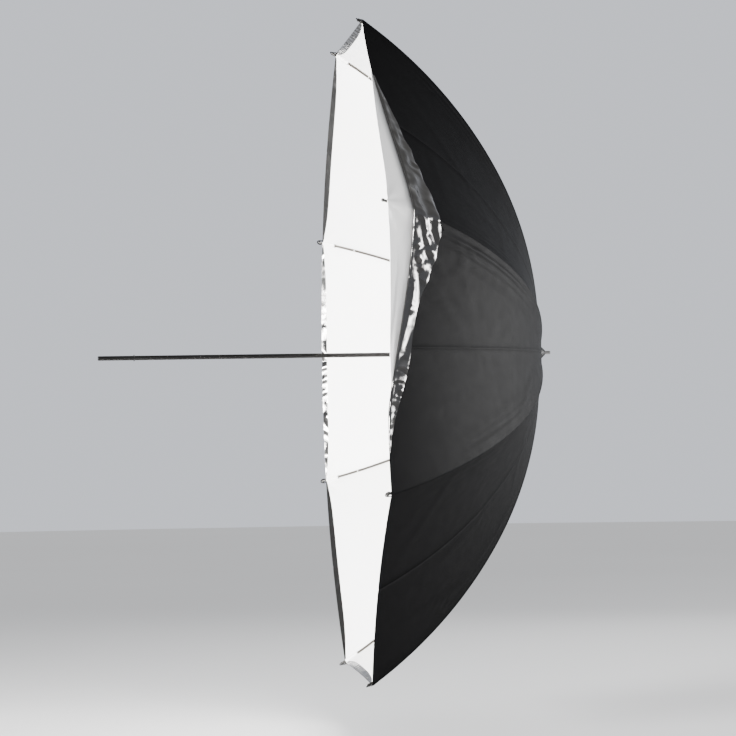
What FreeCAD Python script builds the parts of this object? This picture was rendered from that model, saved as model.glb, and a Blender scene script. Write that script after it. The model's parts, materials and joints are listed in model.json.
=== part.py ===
import FreeCAD, Part
import math
import os
import re

import Sketcher

# Photographic umbrella reflector: a white eight-gore canopy on spring-steel ribs, with a removable
# black cover whose inside is silver. The shaft runs along X. The bowl opens towards -X, the apex
# points to +X and Z is up. The origin is on the shaft's axis, in the stretch near its free end that
# a light stand's holder clamps. Lengths are in millimetres and angles in degrees.
#
# Every rib lies in a half-plane through the shaft. It is drawn in the XZ plane, where Z is the
# radius, and then turned about X to its place.

Vector = FreeCAD.Vector
Rotation = FreeCAD.Rotation
Placement = FreeCAD.Placement
Constraint = Sketcher.Constraint

RIBS = 8
UNHOOKED_RIB = 2

DRIVING = {
    # shaft
    "shaft_radius": (3.5, "slim steel tube, 7 mm across"),
    "bore_radius": (2.6, "inside of the tube"),
    "tube_start": (-28.0, "free end of the tube"),
    "tube_end": (650.5, "end of the tube at the apex"),
    "plug_length": (2.0, "flange of the end plug"),
    "plug_stem": (12.0, "part of the plug inside the tube"),
    "plug_clearance": (0.05, "between a plug and the tube's bore"),
    "groove_start": (24.0, "groove that holds the stop ring"),
    "groove_width": (1.6, "length of the groove"),
    "groove_radius": (3.0, "floor of the groove"),
    "ring_radius": (4.9, "outside of the stop ring"),
    "ring_gap": (0.05, "clearance round the stop ring"),
    # ribs: two tangent arcs, both in the rib's own plane
    "pivot_x": (638.5, "wire that the ribs turn on, along the shaft"),
    "pivot_radius": (10.5, "distance of that wire from the shaft's axis"),
    "rib_start": (1.04, "lean of the rib at its pivot"),
    "inner_bend": (600.0, "bend radius of the inner half"),
    "outer_bend": (715.0, "bend radius of the outer half"),
    "bend_change": (304.0, "length along the rib to the change of bend"),
    "rib_length": (610.4, "length along the rib to the centre of its tip"),
    "first_rib": (22.5, "angle of rib 1 from the vertical"),
    "rib_spacing": (45.0, "angle between ribs"),
    "channel_width": (3.2, "ribs and stretchers are U channels"),
    "channel_half": (1.2, "half the height of the channel"),
    "channel_inside": (1.6, "width inside the channel"),
    "channel_web": (0.8, "thickness of the channel's back"),
    "bend_gap": (0.6, "half the gap between the rib's two halves"),
    "tip_gap": (5.0, "rib's end before the centre of the tip"),
    "tip_ball": (2.6, "radius of the ball tip"),
    "tip_sleeve": (2.0, "radius of the sleeve behind the ball"),
    # eyes, lugs and pins of the linkage
    "tab_thickness": (1.2, "flat tab with the eye"),
    "tab_half": (1.7, "half the width of a tab"),
    "tab_length": (9.0, "tab from its eye into the channel"),
    "channel_start": (5.0, "channel's start beyond an eye"),
    "wire_radius": (0.6, "pivot wires"),
    "eye_radius": (0.67, "eyes on the pivot wires"),
    "rivet_radius": (0.9, "rivet between rib and stretcher"),
    "rivet_eye": (0.97, "eye for that rivet"),
    "joint_along": (296.0, "length along the rib to the stretcher's rivet"),
    "joint_drop": (3.6, "rivet's distance inside the rib's centre line"),
    "lug_half": (1.9, "half the width of the rib's lug"),
    "fork_length": (8.0, "stretcher's end without a back"),
    # crowns
    "crown_radius": (13.0, "outside of the notch and of the runner's crown"),
    "crown_half": (3.0, "half their thickness"),
    "slot_floor": (8.4, "radius where their slots begin"),
    "slot_width": (1.6, "width of their slots"),
    "tunnel_radius": (0.65, "tunnel for the wire"),
    "notch_bore": (3.52, "bore of the top notch"),
    "runner_bore": (3.56, "bore of the runner"),
    "runner_radius": (8.0, "outside of the runner's sleeve"),
    "runner_tail": (31.0, "runner's end below its wire"),
    "runner_flange": (10.0, "radius of the runner's grip flange"),
    "flange_length": (4.0, "length of that flange"),
    "keyway_width": (3.0, "way through the runner's bore for the catch"),
    "keyway_top": (6.4, "height of that way above the axis"),
    # catch
    "catch_gap": (1.0, "catch's tooth before the runner's end"),
    "tooth_length": (4.0, "foot of the tooth along the shaft"),
    "tooth_top": (5.3, "height of the tooth above the axis"),
    "leaf_length": (15.0, "leaf spring between its root and the tooth"),
    "leaf_low": (1.0, "underside of the leaf above the axis"),
    "leaf_high": (1.5, "top of the leaf above the axis"),
    "catch_width": (2.0, "width of the leaf and tooth"),
    "catch_slot": (2.5, "width of the slot in the tube"),
    # apex
    "washer_start": (3.3, "washer beyond the pivot wire"),
    "washer_thickness": (0.9, "thickness of the washer"),
    "washer_radius": (12.0, "outside of the washer"),
    "cap_base": (13.0, "radius of the cap's open end"),
    "cap_waist": (9.0, "radius of the cap half way up"),
    "cap_top": (4.2, "radius of the cap's narrow end"),
    "cap_end": (653.5, "the cap's narrow end along the shaft"),
    "cap_wall": (1.4, "wall of the cap"),
    "cap_hole": (2.7, "radius of the hole for the metal tip"),
    "button_radius": (2.6, "radius of the metal tip"),
    "button_end": (662.3, "the metal tip's end along the shaft"),
    "button_stem": (8.0, "part of the metal tip inside the tube"),
    # fabric
    "fabric_thickness": (0.8, "canopy and cover"),
    "canopy_lift": (2.1, "canopy's inside above the rib's centre line"),
    "cover_lift": (3.2, "cover's inside above the rib's centre line"),
    "flap_lift": (6.0, "turned-back corner above the rib's centre line"),
    "fabric_start": (6.0, "length along the rib where the fabric begins"),
    "canopy_margin": (6.0, "canopy's corner before the centre of the tip"),
    "canopy_hollow": (9.0, "how far the canopy's edge curves in between two ribs"),
    "cover_margin": (4.0, "cover's corner before the centre of the tip"),
    "turned_back": (50.0, "length of cover that is turned back at the unhooked rib"),
    "panel_gap": (0.15, "half the gap between neighbouring panels"),
}

doc = FreeCAD.newDocument("umbrella_reflector")
sheet = doc.addObject("Spreadsheet::Sheet", "Sizes")
for row, (alias, (number, meaning)) in enumerate(DRIVING.items(), start=1):
    sheet.set(f"A{row}", str(number))
    sheet.setAlias(f"A{row}", alias)
    sheet.set(f"B{row}", meaning)
doc.recompute()


def size(alias):
    return float(sheet.get(alias))


def store(numbers):
    """Adds worked-out sizes to the sheet, below the driving ones."""
    first = len(aliases) + 1
    for row, (alias, number) in enumerate(numbers.items(), start=first):
        sheet.set(f"A{row}", repr(round(number, 6)))
        sheet.setAlias(f"A{row}", alias)
        aliases.append(alias)
    doc.recompute()


aliases = list(DRIVING)


def on_sheet(formula):
    """Writes a formula of aliases as an expression on the sheet's cells."""
    def cell(match):
        word = match.group()
        return f"Sizes.{word}" if word in aliases else word
    return re.sub(r"[a-z_]+", cell, formula)


def value(formula):
    return float(sheet.evalExpression(on_sheet(formula)))


# ---------------------------------------------------------------- the rib's curve


def rib_point(along, outward=0.0):
    """Returns x and radius at a length along the rib's centre line, and the rib's lean there."""
    lean = math.radians(size("rib_start"))
    bend = size("inner_bend")
    centre_x = size("pivot_x") - bend * math.cos(lean)
    centre_r = size("pivot_radius") - bend * math.sin(lean)
    change = size("bend_change")
    if along <= change:
        lean += along / bend
    else:
        lean += change / bend
        centre_x += (bend - size("outer_bend")) * math.cos(lean)
        centre_r += (bend - size("outer_bend")) * math.sin(lean)
        bend = size("outer_bend")
        lean += (along - change) / bend
    reach = bend + outward
    return centre_x + reach * math.cos(lean), centre_r + reach * math.sin(lean), math.degrees(lean)


def worked_out():
    change_x, change_r, change_lean = rib_point(size("bend_change"))
    joint_x, joint_r, joint_lean = rib_point(size("joint_along"), -size("joint_drop"))
    tip_x, tip_r, tip_lean = rib_point(size("rib_length"))
    along_x = size("pivot_x") - joint_x
    along_r = joint_r - size("pivot_radius")
    start = math.radians(size("rib_start"))
    change = math.radians(change_lean)
    inner, outer = size("inner_bend"), size("outer_bend")
    return {
        "joint_x": joint_x,
        "joint_r": joint_r,
        "joint_lean": joint_lean,
        "tip_x": tip_x,
        "tip_r": tip_r,
        "tip_lean": tip_lean,
        "stretcher_length": math.hypot(along_x, along_r),
        "stretcher_lean": math.degrees(math.atan2(along_r, along_x)),
        "runner_x": size("pivot_x") - 2 * along_x,
        "inner_centre_x": size("pivot_x") - inner * math.cos(start),
        "inner_centre_r": size("pivot_radius") - inner * math.sin(start),
        "outer_centre_x": change_x - outer * math.cos(change),
        "outer_centre_r": change_r - outer * math.sin(change),
        "inner_from": size("rib_start") + math.degrees(size("channel_start") / inner),
        "inner_to": change_lean - math.degrees(size("bend_gap") / inner),
        "outer_from": change_lean + math.degrees(size("bend_gap") / outer),
        "outer_to": tip_lean - math.degrees(size("tip_gap") / outer),
    }


store(worked_out())

# ---------------------------------------------------------------- sketch and feature helpers


def new_body(label):
    body = doc.addObject("PartDesign::Body", label)
    body.Label = label
    return body


def origin_part(body, role):
    return next(part for part in body.Origin.OriginFeatures if part.Role == role)


def new_sketch(body, name, at=("0", "0"), turn="0"):
    """A sketch on the body's XZ plane, its own origin moved to at and turned from X towards Z."""
    sketch = body.newObject("Sketcher::SketchObject", f"{body.Name}_{name}")
    sketch.AttachmentSupport = [(origin_part(body, "XZ_Plane"), "")]
    sketch.MapMode = "FlatFace"
    place = Placement(Vector(value(at[0]), value(at[1]), 0), Rotation(Vector(0, 0, 1), value(turn)))
    sketch.AttachmentOffset = place
    sketch.setExpression("AttachmentOffset.Base.x", on_sheet(at[0]))
    sketch.setExpression("AttachmentOffset.Base.y", on_sheet(at[1]))
    sketch.setExpression("AttachmentOffset.Rotation.Angle", f"({on_sheet(turn)}) * 1 deg")
    return sketch


def bind(sketch, constraint, formula):
    """Adds a constraint whose datum follows the sheet."""
    index = sketch.addConstraint(constraint)
    sketch.setExpression(f"Constraints[{index}]", on_sheet(formula))


def fix_point(sketch, edge, end, point):
    """Holds one end of an edge at a point given as two formulas."""
    for kind, formula in zip(("DistanceX", "DistanceY"), point):
        if value(formula) >= 0:
            bind(sketch, Constraint(kind, -1, 1, edge, end, value(formula)), formula)
        else:
            bind(sketch, Constraint(kind, edge, end, -1, 1, -value(formula)), f"-({formula})")


def outline(sketch, points):
    """Draws a closed outline through points given as pairs of formulas."""
    corners = [Vector(value(x), value(y), 0) for x, y in points]
    following = corners[1:] + corners[:1]
    sketch.addGeometry([Part.LineSegment(a, b) for a, b in zip(corners, following)], False)
    count = len(points)
    for edge in range(count):
        sketch.addConstraint(Constraint("Coincident", edge, 2, (edge + 1) % count, 1))
    for edge, point in enumerate(points):
        fix_point(sketch, edge, 1, point)


def circle(sketch, radius):
    """Draws a circle about the sketch's own origin."""
    sketch.addGeometry(Part.Circle(Vector(0, 0, 0), Vector(0, 0, 1), value(radius)), False)
    sketch.addConstraint(Constraint("Coincident", 0, 3, -1, 1))
    bind(sketch, Constraint("Radius", 0, value(radius)), radius)


def band(sketch, centre, low, high, start, end):
    """Draws the space between two arcs about one centre, from one angle to another."""
    middle = Vector(value(centre[0]), value(centre[1]), 0)
    angles = math.radians(value(start)), math.radians(value(end))
    radii = value(low), value(high)
    for radius in radii:
        ring = Part.Circle(middle, Vector(0, 0, 1), radius)
        sketch.addGeometry(Part.ArcOfCircle(ring, *angles), False)
    for angle in angles:
        ends = [middle + Vector(math.cos(angle), math.sin(angle), 0) * radius for radius in radii]
        sketch.addGeometry(Part.LineSegment(*ends), False)
    sketch.addConstraint(Constraint("Coincident", 0, 3, 1, 3))
    for line, end_of_arc in ((2, 1), (3, 2)):
        sketch.addConstraint(Constraint("Coincident", line, 1, 0, end_of_arc))
        sketch.addConstraint(Constraint("Coincident", line, 2, 1, end_of_arc))
        sketch.addConstraint(Constraint("PointOnObject", 0, 3, line))
    fix_point(sketch, 0, 3, centre)
    bind(sketch, Constraint("Radius", 0, radii[0]), low)
    bind(sketch, Constraint("Radius", 1, radii[1]), high)
    bind(sketch, Constraint("Angle", 2, angles[0]), f"({start}) * 1 deg")
    bind(sketch, Constraint("Angle", 3, angles[1]), f"({end}) * 1 deg")


def tongue(sketch, half_width, length):
    """Draws a flat tongue: rounded about the sketch's origin and square at the other end."""
    half, long = value(half_width), value(length)
    low, high = Vector(0, -half, 0), Vector(0, half, 0)
    low_end, high_end = Vector(long, -half, 0), Vector(long, half, 0)
    ring = Part.Circle(Vector(0, 0, 0), Vector(0, 0, 1), half)
    sketch.addGeometry(Part.ArcOfCircle(ring, math.pi / 2, 3 * math.pi / 2), False)
    for start, end in ((low, low_end), (low_end, high_end), (high_end, high)):
        sketch.addGeometry(Part.LineSegment(start, end), False)
    for first, first_end, second, second_end in ((0, 2, 1, 1), (1, 2, 2, 1), (2, 2, 3, 1), (3, 2, 0, 1)):
        sketch.addConstraint(Constraint("Coincident", first, first_end, second, second_end))
    sketch.addConstraint(Constraint("Coincident", 0, 3, -1, 1))
    for kind, edge in (("Horizontal", 1), ("Vertical", 2), ("Horizontal", 3)):
        sketch.addConstraint(Constraint(kind, edge))
    bind(sketch, Constraint("Radius", 0, half), half_width)
    sketch.addConstraint(Constraint("PointOnObject", 0, 1, -2))
    bind(sketch, Constraint("DistanceX", -1, 1, 1, 2, long), length)


def pad(body, sketch, thickness):
    """Adds material evenly on both sides of the sketch."""
    feature = body.newObject("PartDesign::Pad", f"{sketch.Name}_pad")
    feature.Profile = sketch
    feature.SideType = "Symmetric"
    feature.setExpression("Length", on_sheet(thickness))
    return feature


def pocket(body, sketch, thickness):
    """Cuts evenly on both sides of the sketch."""
    feature = body.newObject("PartDesign::Pocket", f"{sketch.Name}_pocket")
    feature.Profile = sketch
    feature.SideType = "Symmetric"
    feature.setExpression("Length", on_sheet(thickness))
    return feature


def turned(label, points):
    """A piece turned about the shaft's axis. Its points are pairs of x and radius."""
    body = new_body(label)
    sketch = new_sketch(body, "section")
    outline(sketch, points)
    feature = body.newObject("PartDesign::Revolution", f"{label}_turned")
    feature.Profile = sketch
    feature.ReferenceAxis = (sketch, ["H_Axis"])
    feature.Angle = 360
    return body


def turn_to_rib(piece, number):
    """Turns a piece from the XZ plane to its rib's place about the shaft."""
    piece.Placement = Placement(Vector(0, 0, 0), Rotation(Vector(1, 0, 0), 1))
    angle = f"first_rib + {number - 1} * rib_spacing"
    piece.setExpression("Placement.Rotation.Angle", f"({on_sheet(angle)}) * 1 deg")
    return piece


def cut_box(label, base, low, high):
    """Cuts a box, given by two corners of formulas, out of a finished body."""
    tool = doc.addObject("Part::Box", f"{label}_slot")
    for axis, side, start, end in zip("xyz", ("Length", "Width", "Height"), low, high):
        tool.setExpression(f"Placement.Base.{axis}", on_sheet(start))
        tool.setExpression(side, on_sheet(f"({end}) - ({start})"))
    cut = doc.addObject("Part::Cut", f"{label}_cut")
    cut.Base = base
    cut.Tool = tool
    base.Label = f"{label}_blank"
    cut.Label = label
    return cut


# ---------------------------------------------------------------- shaft and apex


def shaft_tube():
    groove_end = "groove_start + groove_width"
    tube = turned("shaft_tube", [
        ("tube_start", "bore_radius"),
        ("tube_start", "shaft_radius"),
        ("groove_start", "shaft_radius"),
        ("groove_start", "groove_radius"),
        (groove_end, "groove_radius"),
        (groove_end, "shaft_radius"),
        ("tube_end", "shaft_radius"),
        ("tube_end", "bore_radius"),
    ])
    tooth_end = "runner_x - runner_tail - catch_gap"
    low = (f"{tooth_end} - tooth_length - 1", "-catch_slot / 2", "0.5 * bore_radius")
    high = (f"{tooth_end} + 1.5", "catch_slot / 2", "shaft_radius + 1")
    return cut_box("shaft_tube", tube, low, high)


def shaft_end_plug():
    stem = "bore_radius - plug_clearance"
    face = "tube_start - plug_length"
    return turned("shaft_end_plug", [
        (face, "0"),
        (face, "shaft_radius - 0.8"),
        (f"{face} + 0.6", "shaft_radius - 0.2"),
        ("tube_start", "shaft_radius - 0.2"),
        ("tube_start", stem),
        ("tube_start + plug_stem", stem),
        ("tube_start + plug_stem", "0"),
    ])


def stop_ring():
    start = "groove_start + ring_gap"
    end = "groove_start + groove_width - ring_gap"
    inside = "groove_radius + ring_gap"
    return turned("stop_ring", [
        (start, inside),
        (start, "ring_radius - 0.3"),
        (f"{start} + 0.3", "ring_radius"),
        (f"{end} - 0.3", "ring_radius"),
        (end, "ring_radius - 0.3"),
        (end, inside),
    ])


def slotted_crown(body, at):
    """Cuts eight radial slots and the tunnel of the pivot wire into a crown at x."""
    slot = new_sketch(body, "slot")
    reach = "(crown_half + 1)"
    outline(slot, [
        (f"{at} - {reach}", "slot_floor"),
        (f"{at} + {reach}", "slot_floor"),
        (f"{at} + {reach}", "crown_radius + 1"),
        (f"{at} - {reach}", "crown_radius + 1"),
    ])
    cut = pocket(body, slot, "slot_width")
    pattern = body.newObject("PartDesign::PolarPattern", f"{body.Name}_slots")
    pattern.Originals = [cut]
    pattern.Axis = (origin_part(body, "X_Axis"), [""])
    pattern.Angle = 360
    pattern.Occurrences = RIBS
    body.Tip = pattern
    tunnel = new_sketch(body, "tunnel", (at, "pivot_radius"))
    circle(tunnel, "tunnel_radius")
    groove = body.newObject("PartDesign::Groove", f"{body.Name}_groove")
    groove.Profile = tunnel
    groove.ReferenceAxis = (origin_part(body, "X_Axis"), [""])
    groove.Angle = 360
    body.Tip = groove
    return turn_to_rib(body, 1)


def top_notch():
    body = turned("top_notch", [
        ("pivot_x - crown_half", "notch_bore"),
        ("pivot_x - crown_half", "crown_radius"),
        ("pivot_x + crown_half", "crown_radius"),
        ("pivot_x + crown_half", "notch_bore"),
    ])
    return slotted_crown(body, "pivot_x")


def runner():
    tail = "runner_x - runner_tail"
    body = turned("runner", [
        (tail, "runner_bore"),
        (tail, "runner_flange"),
        (f"{tail} + flange_length", "runner_flange"),
        (f"{tail} + flange_length + 2", "runner_radius"),
        ("runner_x - crown_half - 4", "runner_radius"),
        ("runner_x - crown_half", "crown_radius"),
        ("runner_x + crown_half", "crown_radius"),
        ("runner_x + crown_half", "runner_bore"),
    ])
    crown = slotted_crown(body, "runner_x")
    low = (f"{tail} - 1", "-keyway_width / 2", "0")
    high = ("runner_x + crown_half + 1", "keyway_width / 2", "keyway_top")
    return cut_box("runner", crown, low, high)


def pivot_wire(label, at):
    """A closed ring of wire through the eyes of the ribs or of the stretchers."""
    wire = doc.addObject("Part::Torus", label)
    wire.Label = label
    wire.setExpression("Radius1", on_sheet("pivot_radius"))
    wire.setExpression("Radius2", on_sheet("wire_radius"))
    wire.Placement = Placement(Vector(0, 0, 0), Rotation(Vector(0, 1, 0), 90))
    wire.setExpression("Placement.Base.x", on_sheet(at))
    return wire


def apex_washer():
    start = "pivot_x + washer_start"
    end = f"{start} + washer_thickness"
    return turned("apex_washer", [
        (start, "notch_bore"),
        (start, "washer_radius"),
        (end, "washer_radius"),
        (end, "notch_bore"),
    ])


def apex_cap():
    base = "pivot_x + washer_start + washer_thickness + 0.1"
    middle = f"({base} + cap_end) / 2"
    shelf = "tube_end + 0.3"
    return turned("apex_cap", [
        (base, "cap_base - cap_wall"),
        (base, "cap_base"),
        (f"{base} + 1.2", "cap_base - 0.4"),
        (middle, "cap_waist"),
        ("cap_end - 0.5", "cap_top"),
        ("cap_end", "cap_top - 0.5"),
        ("cap_end", "cap_hole"),
        (shelf, "cap_hole"),
        (shelf, "notch_bore"),
        (middle, "notch_bore + 0.4"),
        (f"{base} + 1.2", "cap_base - 0.4 - cap_wall"),
    ])


def tip_button():
    stem = "bore_radius - plug_clearance"
    return turned("tip_button", [
        ("tube_end - button_stem", "0"),
        ("tube_end - button_stem", stem),
        ("cap_end", stem),
        ("cap_end", "button_radius"),
        ("button_end - 1.6", "button_radius"),
        ("button_end - 0.5", "0.8 * button_radius"),
        ("button_end", "0.45 * button_radius"),
        ("button_end", "0"),
    ])


def top_catch():
    """A sprung leaf inside the tube, with a tooth that stands out of the tube's slot."""
    body = new_body("top_catch")
    sketch = new_sketch(body, "side")
    tooth_end = "runner_x - runner_tail - catch_gap"
    tooth_start = f"{tooth_end} - tooth_length"
    root = f"{tooth_start} - leaf_length"
    outline(sketch, [
        (root, "leaf_low"),
        (tooth_end, "leaf_low"),
        (tooth_end, "tooth_top"),
        (f"{tooth_end} - 1", "tooth_top"),
        (tooth_start, "leaf_high"),
        (root, "leaf_high"),
    ])
    pad(body, sketch, "catch_width")
    return body


# ---------------------------------------------------------------- ribs and stretchers


def channel(body, name, centre, bend, start, end):
    """A curved U channel, open on its inner side."""
    strip = new_sketch(body, f"{name}_strip")
    band(strip, centre, f"{bend} - channel_half", f"{bend} + channel_half", start, end)
    pad(body, strip, "channel_width")
    hollow = new_sketch(body, f"{name}_hollow")
    floor = f"{bend} + channel_half - channel_web"
    band(hollow, centre, f"{bend} - channel_half - 1", floor, f"{start} - 0.1", f"{end} + 0.1")
    pocket(body, hollow, "channel_inside")


def tab(body, name, at, turn, half_width, length, hole):
    """A flat tab with a round eye at its rounded end."""
    shape = new_sketch(body, f"{name}_tab", at, turn)
    tongue(shape, half_width, length)
    pad(body, shape, "tab_thickness")
    eye = new_sketch(body, f"{name}_eye", at, turn)
    circle(eye, hole)
    pocket(body, eye, "channel_width")


def rib_inner(number):
    body = new_body(f"rib_{number}_inner")
    centre = ("inner_centre_x", "inner_centre_r")
    channel(body, "inner", centre, "inner_bend", "inner_from", "inner_to")
    pivot = ("pivot_x", "pivot_radius")
    tab(body, "pivot", pivot, "rib_start + 90", "0.8 * tab_half", "tab_length", "eye_radius")
    joint = ("joint_x", "joint_r")
    lug = "joint_drop + channel_half - 0.5 * channel_web"
    tab(body, "joint", joint, "joint_lean", "lug_half", lug, "rivet_eye")
    return turn_to_rib(body, number)


def rib_outer(number):
    body = new_body(f"rib_{number}_outer")
    centre = ("outer_centre_x", "outer_centre_r")
    channel(body, "outer", centre, "outer_bend", "outer_from", "outer_to")
    return turn_to_rib(body, number)


def rib_tip(number):
    """The ball on the end of a rib, turned in one piece with a short sleeve."""
    body = new_body(f"rib_{number}_tip")
    section = new_sketch(body, "section", ("tip_x", "tip_r"), "tip_lean + 90")
    ball, sleeve = value("tip_ball"), value("tip_sleeve")
    start = value("-tip_gap + 0.05")
    meeting = math.acos(-math.sqrt(ball ** 2 - sleeve ** 2) / ball)
    ring = Part.Circle(Vector(0, 0, 0), Vector(0, 0, 1), ball)
    join = Vector(ball * math.cos(meeting), sleeve, 0)
    corners = [join, Vector(start, sleeve, 0), Vector(start, 0, 0), Vector(ball, 0, 0)]
    section.addGeometry(Part.ArcOfCircle(ring, 0, meeting), False)
    section.addGeometry([Part.LineSegment(a, b) for a, b in zip(corners, corners[1:])], False)
    for first, first_end, second, second_end in ((0, 2, 1, 1), (1, 2, 2, 1), (2, 2, 3, 1), (3, 2, 0, 1)):
        section.addConstraint(Constraint("Coincident", first, first_end, second, second_end))
    section.addConstraint(Constraint("Coincident", 0, 3, -1, 1))
    section.addConstraint(Constraint("Horizontal", 1))
    bind(section, Constraint("Radius", 0, ball), "tip_ball")
    fix_point(section, 2, 1, ("-tip_gap + 0.05", "tip_sleeve"))
    fix_point(section, 2, 2, ("-tip_gap + 0.05", "0"))
    section.addConstraint(Constraint("PointOnObject", 0, 1, -1))
    turn = body.newObject("PartDesign::Revolution", f"{body.Name}_turned")
    turn.Profile = section
    turn.ReferenceAxis = (section, ["H_Axis"])
    turn.Angle = 360
    return turn_to_rib(body, number)


def stretcher(number):
    """A straight U channel from the runner to the rib, with the rivet in its forked end."""
    body = new_body(f"stretcher_{number}")
    joint = ("joint_x", "joint_r")
    to_runner = "180 + stretcher_lean"
    rail = new_sketch(body, "rail", joint, to_runner)
    tongue(rail, "channel_half + 0.2", "stretcher_length - channel_start")
    pad(body, rail, "channel_width")
    fork = new_sketch(body, "fork", joint, to_runner)
    outline(fork, [
        ("-3", "-3"),
        ("fork_length", "-3"),
        ("fork_length", "3"),
        ("-3", "3"),
    ])
    pocket(body, fork, "channel_inside")
    hollow = new_sketch(body, "hollow", joint, to_runner)
    outline(hollow, [
        ("fork_length - 1", "-3"),
        ("stretcher_length", "-3"),
        ("stretcher_length", "channel_half + 0.2 - channel_web"),
        ("fork_length - 1", "channel_half + 0.2 - channel_web"),
    ])
    pocket(body, hollow, "channel_inside")
    pin = new_sketch(body, "rivet", joint, to_runner)
    circle(pin, "rivet_radius")
    pad(body, pin, "channel_width")
    at_runner = ("runner_x", "pivot_radius")
    tab(body, "eye", at_runner, "stretcher_lean", "0.8 * tab_half", "tab_length", "eye_radius")
    return turn_to_rib(body, number)


# ---------------------------------------------------------------- fabric


def fabric_band(lift, thickness, start, end, angle, shift):
    """A closed outline across the cloth, in the half-plane at an angle from the rib's own.

    Between the ribs the cloth is stretched straight, so there it lies nearer to the shaft.
    """
    turn = Rotation(Vector(1, 0, 0), angle)
    inward = math.cos(math.radians(angle))
    sideways = turn.multVec(Vector(0, math.copysign(shift, angle), 0)) if angle else Vector(0, 0, 0)

    def place(along, outward):
        x, radius, _ = rib_point(along, outward)
        return turn.multVec(Vector(x, 0, radius * inward)) + sideways

    def face(outward, stops):
        arcs = []
        for low, high in zip(stops, stops[1:]):
            points = [place(along, outward) for along in (low, (low + high) / 2, high)]
            arcs.append(Part.Arc(*points).toShape())
        return arcs

    change = size("bend_change")
    stops = [start, change, end] if start < change < end else [start, (start + end) / 2, end]
    low_face = face(lift, stops)
    high_face = face(lift + thickness, stops[::-1])
    far_end = Part.makeLine(place(end, lift), place(end, lift + thickness))
    near_end = Part.makeLine(place(start, lift + thickness), place(start, lift))
    return Part.Wire(low_face + [far_end] + high_face + [near_end])


def fabric(label, number, lift, starts, ends):
    """Cloth centred on a rib, from one mid-gore line over the rib to the next."""
    half = size("rib_spacing") / 2
    gap = size("panel_gap")
    thickness = size("fabric_thickness")
    wires = []
    for angle, start, end in zip((-half, 0, half), starts, ends):
        wires.append(fabric_band(lift, thickness, start, end, angle, gap))
    feature = doc.addObject("Part::Feature", label)
    feature.Label = label
    feature.Shape = Part.makeLoft(wires, True, True)
    return turn_to_rib(feature, number)


def canopy_panel(number):
    corner = size("rib_length") - size("canopy_margin")
    between = corner - size("canopy_hollow")
    starts = [size("fabric_start")] * 3
    return fabric(f"canopy_panel_{number}", number, size("canopy_lift"), starts, (between, corner, between))


def cover_edge(number):
    """Where the cover ends, along its rib and along the mid-gore lines beside it."""
    hooked = size("rib_length") - size("cover_margin")
    folded = hooked - size("turned_back")
    halfway = (hooked + folded) / 2
    on_rib = folded if number == UNHOOKED_RIB else hooked
    before = halfway if number in (UNHOOKED_RIB, UNHOOKED_RIB + 1) else hooked
    after = halfway if number in (UNHOOKED_RIB, UNHOOKED_RIB - 1) else hooked
    return before, on_rib, after


def cover_panel(number):
    starts = [size("fabric_start")] * 3
    return fabric(f"cover_panel_{number}", number, size("cover_lift"), starts, cover_edge(number))


def cover_flap():
    """The unhooked corner of the cover, folded back over the cover's outside."""
    fold = cover_edge(UNHOOKED_RIB)
    hooked = size("rib_length") - size("cover_margin")
    edge = [2 * along - hooked for along in fold]
    return fabric("cover_flap", UNHOOKED_RIB, size("flap_lift"), edge, fold)


# ---------------------------------------------------------------- the whole umbrella


def build():
    pieces = [
        shaft_tube(),
        shaft_end_plug(),
        stop_ring(),
        top_notch(),
        pivot_wire("notch_wire", "pivot_x"),
        apex_washer(),
        apex_cap(),
        tip_button(),
        top_catch(),
        runner(),
        pivot_wire("runner_wire", "runner_x"),
        cover_flap(),
    ]
    for number in range(1, RIBS + 1):
        for make in (rib_inner, rib_outer, rib_tip, stretcher, canopy_panel, cover_panel):
            pieces.append(make(number))
    doc.recompute()
    return pieces


def check(pieces):
    for thing in doc.Objects:
        if "Invalid" in thing.State or "Error" in thing.State:
            raise RuntimeError(f"{thing.Label} failed: {thing.State}")
    for piece in pieces:
        shape = piece.Shape
        if shape.isNull() or not shape.isValid() or shape.Volume <= 0:
            raise RuntimeError(f"{piece.Label} has no valid shape")


def write(pieces):
    os.makedirs("parts", exist_ok=True)
    for piece in pieces:
        piece.Shape.exportStep(f"parts/{piece.Label}.step")


parts = build()
check(parts)
write(parts)
print(f"{len(parts)} pieces, rib tips {size('tip_r'):.2f} from the axis at x {size('tip_x'):.2f}")
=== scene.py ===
import json
import math

import bpy
import numpy as np
from mathutils import Matrix, Vector


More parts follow.
